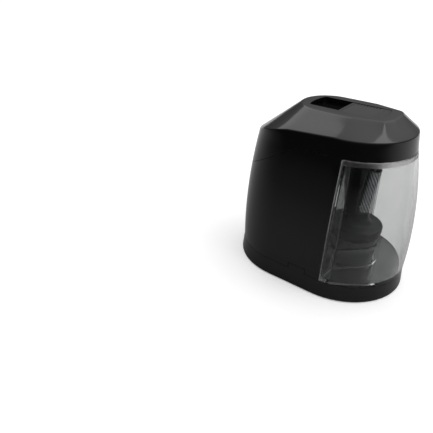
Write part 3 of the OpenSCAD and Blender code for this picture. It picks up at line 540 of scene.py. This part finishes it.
RED_LEAD = plastic("red_lead", (0.42, 0.02, 0.02), 0.45, varied=0.06, grain=0.06)
WHITE_LEAD = plastic("white_lead", (0.74, 0.74, 0.72), 0.45, varied=0.04, grain=0.06)
BLUE_LEAD = plastic("blue_lead", (0.03, 0.08, 0.38), 0.45, varied=0.06, grain=0.06)
STEEL = metal("plated_steel", (0.58, 0.59, 0.61), 0.3)
CUTTER_STEEL = metal("cutter_steel", (0.46, 0.47, 0.48), 0.2, direction=(500, 500, 2500))
BRASS = metal("turned_brass", (0.72, 0.54, 0.26), 0.28)
CLEAR = clear_plastic("clear_polystyrene")


def paint(obj, material):
    obj.data.materials.clear()
    obj.data.materials.append(material)


def finish_piece(obj, name, node, body, slot, material, angle=SMOOTH_ANGLE):
    """Names a new piece and lets it stand for its CAD node."""
    obj.name = name
    obj.data.name = name
    paint(obj, material)
    shade(obj, angle)
    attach(obj, body)
    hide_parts(node)
    return obj


# ---- cap -------------------------------------------------------------------

FLAT_CORNERS = (
    (-90, FLAT_MID_X, -FLAT_HALF),
    (-44, FLAT_FRONT_X - 2.9, -13.3),
    (-20, FLAT_FRONT_X, -6.2),
    (20, FLAT_FRONT_X, 6.2),
    (44, FLAT_FRONT_X - 2.9, 13.3),
    (90, FLAT_MID_X, FLAT_HALF),
)


def skirt_edge_z(i):
    x = skin_point(i, SKIRT_Z - 4, 0).x
    return SKIRT_Z - DIP_RATE * max(0.0, DIP_X - x) ** 2


def flat_point(i, inset, z):
    """Point i of the flat top's outline: straight facets in front, round at the rear."""
    g = ring_angle(i)
    if i > ARC:
        r = FLAT_HALF - inset
        rear_centre = FLAT_REAR_X + FLAT_HALF
        return Vector((rear_centre + r * math.cos(math.radians(g)), r * math.sin(math.radians(g)), z))
    for (g0, x0, y0), (g1, x1, y1) in zip(FLAT_CORNERS, FLAT_CORNERS[1:]):
        if g <= g1:
            t = (g - g0) / (g1 - g0)
            x, y = x0 + (x1 - x0) * t, y0 + (y1 - y0) * t
            along, across = (1 - inset / reach for reach in FLAT_REACH)
            return Vector((FLAT_MID_X + (x - FLAT_MID_X) * along, y * across, z))


def rounded(before, corner, after, r, steps):
    """Points round a corner, touching both sides r away from it."""
    start = corner + (before - corner).normalized() * r
    end = corner + (after - corner).normalized() * r
    parts = [k / steps for k in range(steps + 1)]
    return [start * (1 - t) ** 2 + corner * 2 * t * (1 - t) + end * t * t for t in parts]


def cap_profile(i, inset, drop, edge_r, flat_r):
    """Points of the cap's outer or inner skin up one line of the outline."""
    steps = 14
    edge_z = skirt_edge_z(i) - drop * BAND_SHARE
    walls = [skin_point(i, CAP_LOW_Z + (edge_z - CAP_LOW_Z) * k / steps, inset) for k in range(steps)]
    edge = skin_point(i, edge_z, inset)
    rim = flat_point(i, inset * BAND_SHARE, TOP_Z - drop)
    inner = flat_point(i, inset * BAND_SHARE + 6, TOP_Z - drop)
    roof = rounded(walls[-1], edge, rim, edge_r, 5)
    roof += [roof[-1].lerp(rim, t) for t in (0.25, 0.5, 0.75)]
    return walls + roof + rounded(edge, rim, inner, flat_r, 6) + [inner]


def cap_skin(inset, drop, edge_r, flat_r):
    lines = [cap_profile(i, inset, drop, edge_r, flat_r) for i in range(RING)]
    return loft("tool", [list(ring) for ring in zip(*lines)])


def slot_outline(grow, steps=16):
    """The slot in the flat top: straight sides, bowed ends and rounded corners."""
    half = SLOT_WID / 2 + grow
    r = SLOT_END_R + grow
    corner_r = SLOT_CORNER_R + grow

    def end_x(y):
        return math.sqrt(r * r - y * y) - SLOT_END_R

    flat = half - corner_r
    rows = [-flat + 2 * flat * k / steps for k in range(steps + 1)]
    bow_end = [(end_x(y), y) for y in rows]
    corner = Vector((end_x(half), half))
    turn = rounded(Vector((end_x(flat), flat)), corner, corner - Vector((1, 0)), corner_r, 6)
    upper = [(p.x, p.y) for p in turn[1:]]
    lower_half = [(x, -y) for x, y in reversed(upper)]
    outline = lower_half + bow_end + upper
    front = [(SLOT_FRONT_X + x, y) for x, y in outline]
    rear = [(SLOT_REAR_X - x, -y) for x, y in outline]
    return front + rear


def build_cap():
    cap = cap_skin(0, 0, *CAP_ROUNDING)
    cut(cap, cap_skin(WALL, WALL, *CAP_ROUNDING_INSIDE))
    keep(cap, above_seam(GAP))
    join(cap, prism(slot_outline(LIP_WIDE + SLOT_WALL), SLOT_FLOOR_Z - SLOT_FLOOR, TOP_Z - 0.3))
    join(cap, prism(circle(AXIS_X, 0, COLLAR_R), COLLAR_LOW_Z, SLOT_FLOOR_Z - 0.5))
    cut(cap, prism(slot_outline(0), SLOT_FLOOR_Z, TOP_Z + 5))
    cut(cap, prism(slot_outline(LIP_WIDE), SLOT_FLOOR_Z, LIP_Z))
    cut(cap, prism(circle(AXIS_X, 0, BORE_R), COLLAR_LOW_Z - 1, SLOT_FLOOR_Z + 1))
    return finish_piece(cap, "cap_shell", "cap", "root", "black_plastic", GLOSS_BLACK, CAP_ANGLE)


def cover_plan(half):
    """Plan of the sliding cover, with a straight rear end and rounded rear corners."""
    near, far = Vector((SHUTTER_REAR_X, -half)), Vector((SHUTTER_REAR_X, half))
    first = rounded(Vector((FAR, half)), far, near, SLOT_CORNER_R, 6)
    second = rounded(far, near, Vector((FAR, -half)), SLOT_CORNER_R, 6)
    return [(FAR, half)] + [(p.x, p.y) for p in first + second] + [(FAR, -half)]


def build_shutter():
    """Sliding cover: shallow finger ribs on top, a foot under the cap's lip."""
    half = SLOT_WID / 2 - SLIDE_GAP
    first, last = (SHUTTER_REAR_X + place for place in RIBBED)
    rows_per_rib, row_count = 10, 140
    rings = []
    for k in range(row_count):
        x = SHUTTER_REAR_X + RIB_PITCH / rows_per_rib * k
        wave = (1 - math.cos(2 * math.pi * (x - first) / RIB_PITCH)) / 2 if first < x < last else 1.0
        top = SHUTTER_TOP_Z - RIB_DEPTH * (1 - wave)
        rings.append([(x, -half, SHUTTER_LOW_Z), (x, half, SHUTTER_LOW_Z), (x, half, top), (x, -half, top)])
    cover = loft("tool", rings)
    keep(cover, prism(slot_outline(-SLIDE_GAP), SHUTTER_LOW_Z, TOP_Z))
    keep(cover, prism(cover_plan(half), SHUTTER_LOW_Z - 1, TOP_Z + 1))
    foot = prism(slot_outline(LIP_WIDE - SLIDE_GAP), SHUTTER_LOW_Z, LIP_Z - SLIDE_GAP)
    keep(foot, block((SHUTTER_REAR_X + 1, -FAR, 0), (FAR, FAR, HIGH)))
    join(cover, foot)
    return finish_piece(cover, "sliding_cover", "shutter", "shutter", "black_plastic", GLOSS_BLACK)


# ---- rear shell and base ---------------------------------------------------


def tab_notches():
    x0, x1 = TAB_X[0] - TAB_SEAM, TAB_X[1] + TAB_SEAM
    top = TAB_TOP_Z + TAB_SEAM
    return [block((x0, y0, 0), (x1, y1, top)) for y0, y1 in ((-FAR, -TAB_Y), (TAB_Y, FAR))]


def build_rear_shell():
    shell = skin(SHELL_LOW_Z, SEAM_Z, 0, 40)
    cut(shell, skin(SHELL_LOW_Z - 1, SEAM_Z + 1, WALL, 40))
    cut(shell, block((BULKHEAD_X, -FAR, 0), (FAR, FAR, HIGH)))
    cut(shell, above_seam(0))
    cut(shell, *tab_notches())
    cut(shell, rod_x(-FAR, JACK_HOLE_X, 0, JACK_Z, JACK_HOLE_R))
    return finish_piece(shell, "rear_wall", "rear_shell", "root", "black_plastic", GLOSS_BLACK)


# ---- bin -------------------------------------------------------------------


def bay_outline(r, half, steps=32):
    """Plan of the bay round the gearbox nose: a round nose with slanted cheeks."""
    slant = AXIS_X + r * math.sqrt(2)
    angles = [math.radians(-45 + 90 * k / steps) for k in range(steps + 1)]
    nose = [(AXIS_X + r * math.cos(g), r * math.sin(g)) for g in angles]
    rear = BULKHEAD_X - 5
    return [(rear, -half), (slant - half, -half), *nose, (slant - half, half), (rear, half)]


def build_bin():
    front = (BIN_REAR_X, -FAR, 0), (FAR, FAR, HIGH)
    tub = skin(BIN_LOW_Z, BIN_TOP_Z, 0, 40)
    cut(tub, skin(BIN_LOW_Z + WALL, BIN_TOP_Z - RIM_HIGH, WALL, 36))
    cut(tub, skin(BIN_TOP_Z - RIM_HIGH - 0.01, BIN_TOP_Z + 1, WALL + RIM_THIN, 4))
    keep(tub, block(*front))
    flange_y = BAY_HALF - BAY_WALL
    for y0, y1 in ((flange_y, FAR), (-FAR, -flange_y)):
        flange = skin(BIN_LOW_Z + WALL + FLANGE_CLEAR, BIN_TOP_Z - RIM_HIGH, WALL + FLANGE_CLEAR, 40)
        keep(flange, block((BIN_REAR_X + FLANGE_SET_BACK, y0, 0), (BIN_REAR_X + WALL, y1, HIGH)))
        join(tub, flange)
    join(tub, keep(prism(bay_outline(BAY_R, BAY_HALF), BIN_LOW_Z, BAY_TOP_Z), block(*front)))
    cut(tub, prism(bay_outline(BAY_R - BAY_WALL, BAY_HALF - BAY_WALL), 0, HIGH))
    return finish_piece(tub, "clear_bin", "shavings_bin", "bin", "clear_plastic", CLEAR)


# ---- helical cutter --------------------------------------------------------


def build_cutter():
    """Ground helical flutes on the tilted axis that the CAD gives."""
    slices = 120
    offset = (CUTTER_BASE_Z - TIP_Z) * math.tan(TILT) + CUTTER_R / math.cos(TILT)
    lean = Matrix.Translation((0, offset, CUTTER_BASE_Z)) @ Matrix.Rotation(-TILT, 4, "X")
    place = Matrix.Translation((AXIS_X, 0, 0)) @ Matrix.Rotation(CUTTER_TURN, 4, "Z") @ lean
    rings = []
    for k in range(slices + 1):
        turn = -CUTTER_TWIST * k / slices
        z = CUTTER_START + CUTTER_LEN * k / slices
        ring = []
        for t in range(CUTTER_TEETH):
            for angle, depth in TOOTH:
                g = math.radians(360 * t / CUTTER_TEETH + angle) + turn
                r = CUTTER_R - depth
                ring.append(place @ Vector((r * math.cos(g), r * math.sin(g), z)))
        rings.append(ring)
    flutes = loft("tool", rings)
    names = "cutter_flutes", "helical_cutter", "cutter", "cutter_steel"
    return finish_piece(flutes, *names, CUTTER_STEEL, CUTTER_ANGLE)


build_cap()
build_shutter()
build_rear_shell()
build_bin()
build_cutter()

# ---- CAD nodes that stay ---------------------------------------------------

# node: material, edge rounding in millimetres
FINISHES = {
    "base_tray": (GLOSS_BLACK, 0),
    "rubber_feet": (RUBBER, 0.3),
    "bulkhead": (GLOSS_BLACK, 0),
    "gearbox_base": (NOSE_BLACK, 0.25),
    "gearbox_cover": (INNER_BLACK, 0.2),
    "gearbox_screws": (STEEL, 0.08),
    "gear_bowl": (BOWL_BLACK, 0),
    "lower_bush": (BRASS, 0.1),
    "idler_axle_a": (STEEL, 0.1),
    "idler_axle_b": (STEEL, 0.1),
    "idler_gear_a": (ACETAL, 0),
    "idler_gear_b": (ACETAL, 0),
    "motor_can": (STEEL, 0.4),
    "motor_end_cap": (ACETAL, 0.3),
    "motor_terminals": (BRASS, 0.08),
    "motor_screws": (STEEL, 0.08),
    "motor_shaft": (STEEL, 0.1),
    "motor_pinion": (BRASS, 0),
    "cutter_carrier": (DARK_GLOSS, 0.2),
    "carrier_gear": (ACETAL, 0),
    "cutter_axle": (STEEL, 0.1),
    "cutter_gear": (BRASS, 0),
    "ring_gear": (ACETAL, 0),
    "upper_frame": (SATIN_BLACK, 0.2),
    "upper_bush": (BRASS, 0.1),
    "frame_screws": (STEEL, 0.08),
    "pencil_guide": (SATIN_BLACK, 0.2),
    "start_lever": (ACETAL, 0.15),
    "lever_pin": (STEEL, 0.08),
    "lever_spring": (STEEL, 0),
    "start_switch": (SWITCH, 0.2),
    "bin_switch": (SWITCH, 0.2),
    "bin_plunger": (RED, 0.2),
    "circuit_board": (BOARD, 0.1),
    "board_parts": (SATIN_BLACK, 0.15),
    "board_screws": (STEEL, 0.08),
    "dc_jack": (SATIN_BLACK, 0.2),
    "dc_jack_pin": (BRASS, 0.1),
    "motor_wires": (RED_LEAD, 0),
    "start_wires": (WHITE_LEAD, 0),
    "bin_wires": (BLUE_LEAD, 0),
    "base_screws": (STEEL, 0.1),
}

for node_name, (material, bevel) in FINISHES.items():
    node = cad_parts[node_name]
    paint(node, material)
    shade(node, BOWL_ANGLE if node_name == "gear_bowl" else SMOOTH_ANGLE, bevel)

# ---- floor, light and camera -----------------------------------------------

# The floor is white paper to the eye, and glows a little there so that it stays white
FLOOR_HALF = 4000.0
FLOOR_GLOW = 0.35
# Its colour as seen through the clear bin, a little darker than the paper: painted shade
FLOOR_SHADED_THROUGH_BIN = (0.82, 0.82, 0.81)
# Glossy plastic mirrors it dimmer and fading to the front: this is painted shade in the floor's colour, for
# every ray but the camera's and those through the bin, standing in for the uneven light of a tent. Each pair
# is a place and a grey; the places run along Y from FLOOR_FADE metres in front of the origin (0) to as far
# behind it (1).
FLOOR_FADE = 0.5
FLOOR_SHADE_IN_GLOSS = ((0.05, 0.02), (0.3, 0.16), (0.44, 0.34), (0.8, 0.8))


def build_floor():
    half = FLOOR_HALF
    corners = [(-half, -half, 0), (half, -half, 0), (half, half, 0), (-half, half, 0)]
    floor = new_object("floor", corners, [(0, 1, 2, 3)])
    s = Shader("floor_paper", Roughness=0.85, Specular_IOR_Level=0.2)
    paper = s.ramp(s.noise(14, 3), [(0.3, (0.86, 0.86, 0.86)), (0.7, (0.89, 0.89, 0.89))])
    path = s.tree.nodes.new("ShaderNodeLightPath")
    parts = s.tree.nodes.new("ShaderNodeSeparateXYZ")
    s.tree.links.new(s.place, parts.inputs["Vector"])
    depth = s.spread(parts.outputs["Y"], -FLOOR_FADE, FLOOR_FADE, 0, 1)
    # painted shade: the floor darkens towards the front where glossy plastic mirrors it
    painted_floor_shade = s.ramp(depth, [(place, (grey, grey, grey)) for place, grey in FLOOR_SHADE_IN_GLOSS])
    # painted shade: the floor a little darker where it is seen through the bin
    through = s.mix(path.outputs["Is Transmission Ray"], painted_floor_shade, FLOOR_SHADED_THROUGH_BIN)
    direct = s.mix(path.outputs["Is Camera Ray"], through, paper)
    again = s.spread(path.outputs["Glossy Depth"], 0.4, 0.6, 0, 1)
    s.link(s.mix(again, direct, painted_floor_shade), "Base Color")
    s.bsdf.inputs["Emission Color"].default_value = (1, 1, 1, 1)
    s.link(s.spread(path.outputs["Is Camera Ray"], 0, 1, 0, FLOOR_GLOW), "Emission Strength")
    paint(floor, s.material)


def area_light(name, place, target, width, height, power):
    data = bpy.data.lights.new(name, "AREA")
    data.shape = "RECTANGLE"
    data.size = width
    data.size_y = height
    data.energy = power
    lamp = bpy.data.objects.new(name, data)
    scene.collection.objects.link(lamp)
    lamp.location = Vector(place)
    lamp.rotation_euler = (Vector(target) - lamp.location).to_track_quat("-Z", "Y").to_euler()


# Brightness of the tent along each axis of the view direction: from, to, level at from, level at to
TENT_FADES = (
    ("Z", (0.1, 1.0, 0.25, 1.6)),
    ("Y", (-0.9, 0.35, 0.3, 1.0)),
    ("X", (-0.9, 0.2, 0.5, 1.0)),
)


def build_world():
    """Soft tent: bright overhead, fading to the horizon and to the camera's side, with a white backdrop."""
    world = bpy.data.worlds.new("studio")
    scene.world = world
    world.use_nodes = True
    nodes, links = world.node_tree.nodes, world.node_tree.links
    place = nodes.new("ShaderNodeTexCoord")
    parts = nodes.new("ShaderNodeSeparateXYZ")
    links.new(place.outputs["Generated"], parts.inputs["Vector"])
    level = None
    for axis, ends in TENT_FADES:
        fade = nodes.new("ShaderNodeMapRange")
        fade.interpolation_type = "SMOOTHSTEP"
        for key, value in zip(("From Min", "From Max", "To Min", "To Max"), ends):
            fade.inputs[key].default_value = value
        links.new(parts.outputs[axis], fade.inputs["Value"])
        if level is None:
            level = fade
            continue
        product = nodes.new("ShaderNodeMath")
        product.operation = "MULTIPLY"
        links.new(level.outputs[0], product.inputs[0])
        links.new(fade.outputs[0], product.inputs[1])
        level = product
    tent = nodes["Background"]
    links.new(level.outputs[0], tent.inputs["Strength"])
    tent.inputs["Color"].default_value = (1, 1, 1, 1)
    backdrop = nodes.new("ShaderNodeBackground")
    backdrop.inputs["Color"].default_value = (1, 1, 1, 1)
    path = nodes.new("ShaderNodeLightPath")
    seen = nodes.new("ShaderNodeMixShader")
    links.new(path.outputs["Is Camera Ray"], seen.inputs["Fac"])
    links.new(tent.outputs["Background"], seen.inputs[1])
    links.new(backdrop.outputs["Background"], seen.inputs[2])
    links.new(seen.outputs["Shader"], nodes["World Output"].inputs["Surface"])


# Camera at the photo's viewing angle: place, direction in degrees and lens in millimetres
CAMERA_PLACE = (106.84, -253.68, 184.72)
CAMERA_YAW, CAMERA_PITCH, CAMERA_ROLL = 128.0, 30.2, 1.27
CAMERA_LENS = 38.16


def build_camera():
    """Camera that looks down at the bin's side: yaw from +X, downward pitch, and roll."""
    yaw, pitch, roll = (math.radians(a) for a in (CAMERA_YAW, CAMERA_PITCH, CAMERA_ROLL))
    forward = Vector((math.cos(yaw) * math.cos(pitch), math.sin(yaw) * math.cos(pitch), -math.sin(pitch)))
    right = Vector((math.sin(yaw), -math.cos(yaw), 0))
    up = right.cross(forward)
    turned_right = right * math.cos(roll) + up * math.sin(roll)
    turned_up = up * math.cos(roll) - right * math.sin(roll)
    data = bpy.data.cameras.new("camera")
    data.sensor_width = 36
    data.lens = CAMERA_LENS
    data.clip_start = 0.01
    data.clip_end = 50
    camera = bpy.data.objects.new("camera", data)
    scene.collection.objects.link(camera)
    axes = Matrix((turned_right, turned_up, -forward)).transposed()
    camera.matrix_world = Matrix.Translation(Vector(CAMERA_PLACE) * MM) @ axes.to_4x4()
    scene.camera = camera


build_floor()
build_world()
area_light("left_softbox", (-0.70, 0.35, 1.0), (0, 0, 0.1), 0.6, 0.8, 1.6)
area_light("right_softbox", (0.5, 0.1, 0.9), (0, 0, 0.05), 0.5, 0.6, 1.5)
build_camera()
scene.view_settings.view_transform = "Standard"
